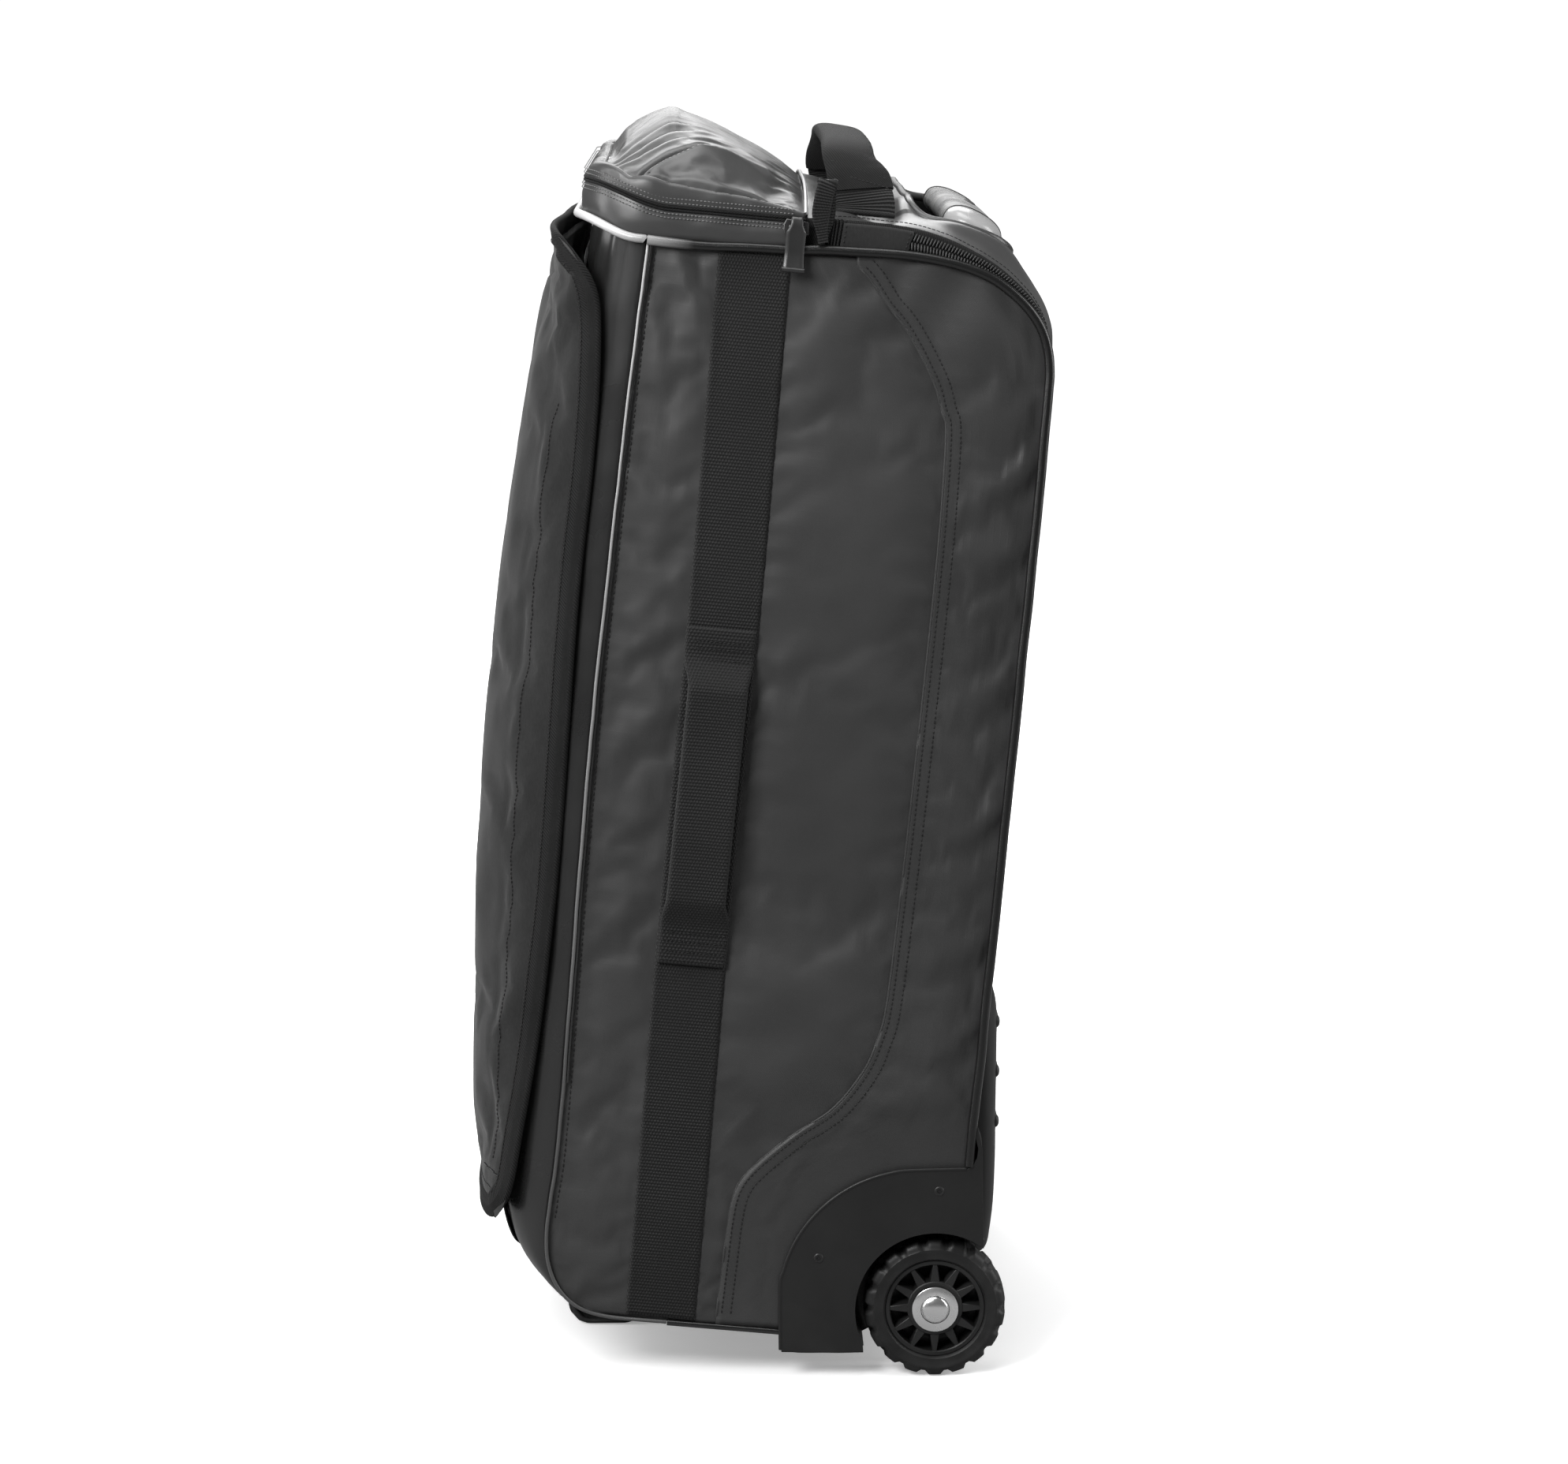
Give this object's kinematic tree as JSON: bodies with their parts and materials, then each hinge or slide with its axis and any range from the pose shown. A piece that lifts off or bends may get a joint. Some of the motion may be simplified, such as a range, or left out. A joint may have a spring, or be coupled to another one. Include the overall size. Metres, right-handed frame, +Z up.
{
  "type": "wheeled bowling ball bag",
  "caption": "Upright soft-sided ball bag with rear wheels, telescoping trolley handle, zipped front lid under a storm flap, zipped top pocket, webbing carry handles and a front foot.",
  "frame": {"origin": "on the floor, at the centre of the overall footprint's bounding box, midway between the wheels", "axes": "+Z up from the floor; -Y is the front with the storm flap; +Y is the back with the wheels; +X is the side seen in the source view, with the top zip puller. The bag leans back 5.3 degrees about X when it stands on its wheels and front foot"},
  "size_m": [0.39, 0.3663, 0.79],
  "materials": {
    "tarpaulin": "semi-matt coated ripstop",
    "gloss_vinyl": "glossy coated fabric",
    "nylon": "brushed matt nylon",
    "webbing": "ribbed woven webbing",
    "piping": "glossy",
    "reflective_piping": "silver retroreflective",
    "zip_coil": "nylon coil and tape",
    "zip_metal": "black enamel",
    "puller_rubber": "satin",
    "moulded_plastic": "satin, lightly scuffed",
    "tyre_rubber": "satin",
    "rim_plastic": "satin",
    "bright_steel": "polished",
    "tube_metal": "anodised",
    "grip_plastic": "glossy",
    "stiffener_board": "plain sheet",
    "foam": "cloth-covered foam"
  },
  "bodies": {
    "bag": {"axle_left": "bright_steel", "axle_right": "bright_steel", "back_panel": "tarpaulin", "back_stiffener": "stiffener_board", "base_board": "stiffener_board", "bottom_panel": "gloss_vinyl", "edge_piping": "piping", "front_foot": "moulded_plastic", "front_frame": "gloss_vinyl", "handle_well": "moulded_plastic", "kick_plate": "moulded_plastic", "lid_zip_chain": "zip_coil", "rear_top_panel": "tarpaulin", "seam_piping_left": "reflective_piping", "seam_piping_right": "reflective_piping", "shoe_shelf": "stiffener_board", "side_foam_left": "foam", "side_foam_right": "foam", "side_panel_left": "tarpaulin", "side_panel_right": "tarpaulin", "side_strap_left": "webbing", "side_strap_right": "webbing", "top_deck": "gloss_vinyl", "top_handle_tab_left": "webbing", "top_handle_tab_right": "webbing", "top_seam_piping": "reflective_piping", "top_wall": "tarpaulin", "top_zip_chain": "zip_coil", "trolley_outer_tube_left": "tube_metal", "trolley_outer_tube_right": "tube_metal", "tube_foot_bracket": "moulded_plastic", "washer_left": "bright_steel", "washer_right": "bright_steel", "wheel_housing_left": "moulded_plastic", "wheel_housing_right": "moulded_plastic", "zip_loop_tab": "webbing"},
    "front_lid": {"front_lid": "gloss_vinyl"},
    "storm_flap": {"storm_flap": "nylon"},
    "lid_zip_slider": {"lid_zip_slider": "zip_metal"},
    "lid_zip_puller": {"lid_zip_puller": "puller_rubber"},
    "top_flap": {"top_flap": "tarpaulin"},
    "top_zip_slider": {"top_zip_slider": "zip_metal"},
    "top_zip_puller": {"top_zip_puller": "puller_rubber"},
    "top_handle": {"top_handle_webbing": "webbing", "top_handle_pad": "nylon"},
    "side_handle_right": {"side_handle_right": "webbing"},
    "side_handle_left": {"side_handle_left": "webbing"},
    "trolley_handle": {"trolley_inner_tube_left": "tube_metal", "trolley_inner_tube_right": "tube_metal", "trolley_grip": "grip_plastic"},
    "grip_button": {"grip_button": "moulded_plastic"},
    "wheel_right": {"tyre_right": "tyre_rubber", "wheel_rim_right": "rim_plastic"},
    "wheel_left": {"tyre_left": "tyre_rubber", "wheel_rim_left": "rim_plastic"}
  },
  "joints": [
    {"name": "wheel_right_spin", "type": "hinge", "parent": "bag", "child": "wheel_right", "pos_m": [0.169, 0.1081, 0.045], "axis": [1, 0, 0], "continuous": true},
    {"name": "wheel_left_spin", "type": "hinge", "parent": "bag", "child": "wheel_left", "pos_m": [-0.169, 0.1081, 0.045], "axis": [1, 0, 0], "continuous": true},
    {"name": "trolley_slide", "type": "slide", "parent": "bag", "child": "trolley_handle", "axis": [0, 0.0924, 0.9957], "range_m": [0, 0.34]},
    {"name": "grip_button_press", "type": "slide", "parent": "trolley_handle", "child": "grip_button", "axis": [0, -0.0924, -0.9957], "range_m": [0, 0.004], "stiffness_N_per_m": 120},
    {"name": "front_lid_hinge", "type": "hinge", "parent": "bag", "child": "front_lid", "pos_m": [-0.152, -0.13899, 0.3915], "axis": [0, -0.0924, -0.9957], "range_deg": [0, 100]},
    {"name": "storm_flap_hinge", "type": "hinge", "parent": "front_lid", "child": "storm_flap", "pos_m": [-0.146, -0.14065, 0.41475], "axis": [0, -0.0924, -0.9957], "range_deg": [0, 100]},
    {"name": "lid_zip_slide", "type": "slide", "parent": "bag", "child": "lid_zip_slider", "axis": [0, 0.0924, 0.9957], "range_m": [0, 0.5]},
    {"name": "lid_zip_puller_swing", "type": "hinge", "parent": "lid_zip_slider", "child": "lid_zip_puller", "pos_m": [0.147, -0.16615, 0.13993], "axis": [-1, 0, 0], "range_deg": [0, 14]},
    {"name": "top_flap_hinge", "type": "hinge", "parent": "bag", "child": "top_flap", "pos_m": [0, 0.02691, 0.7487], "axis": [-1, 0, 0], "range_deg": [0, 70]},
    {"name": "top_zip_slide", "type": "slide", "parent": "bag", "child": "top_zip_slider", "axis": [0, -0.9957, 0.0924], "range_m": [0, 0.07]},
    {"name": "top_zip_puller_swing", "type": "hinge", "parent": "top_zip_slider", "child": "top_zip_puller", "pos_m": [0.1875, 0.02004, 0.72875], "axis": [0, -0.9957, 0.0924], "range_deg": [0, 100]},
    {"name": "top_handle_swing", "type": "hinge", "parent": "bag", "child": "top_handle", "pos_m": [0, 0.06312, 0.73851], "axis": [-1, 0, 0], "range_deg": [-5, 25]},
    {"name": "side_handle_right_swing", "type": "hinge", "parent": "bag", "child": "side_handle_right", "pos_m": [0.184, -0.0357, 0.37689], "axis": [0, 0.0924, 0.9957], "range_deg": [-18, 18]},
    {"name": "side_handle_left_swing", "type": "hinge", "parent": "bag", "child": "side_handle_left", "pos_m": [-0.184, -0.0357, 0.37689], "axis": [0, 0.0924, 0.9957], "range_deg": [-18, 18]}
  ]
}
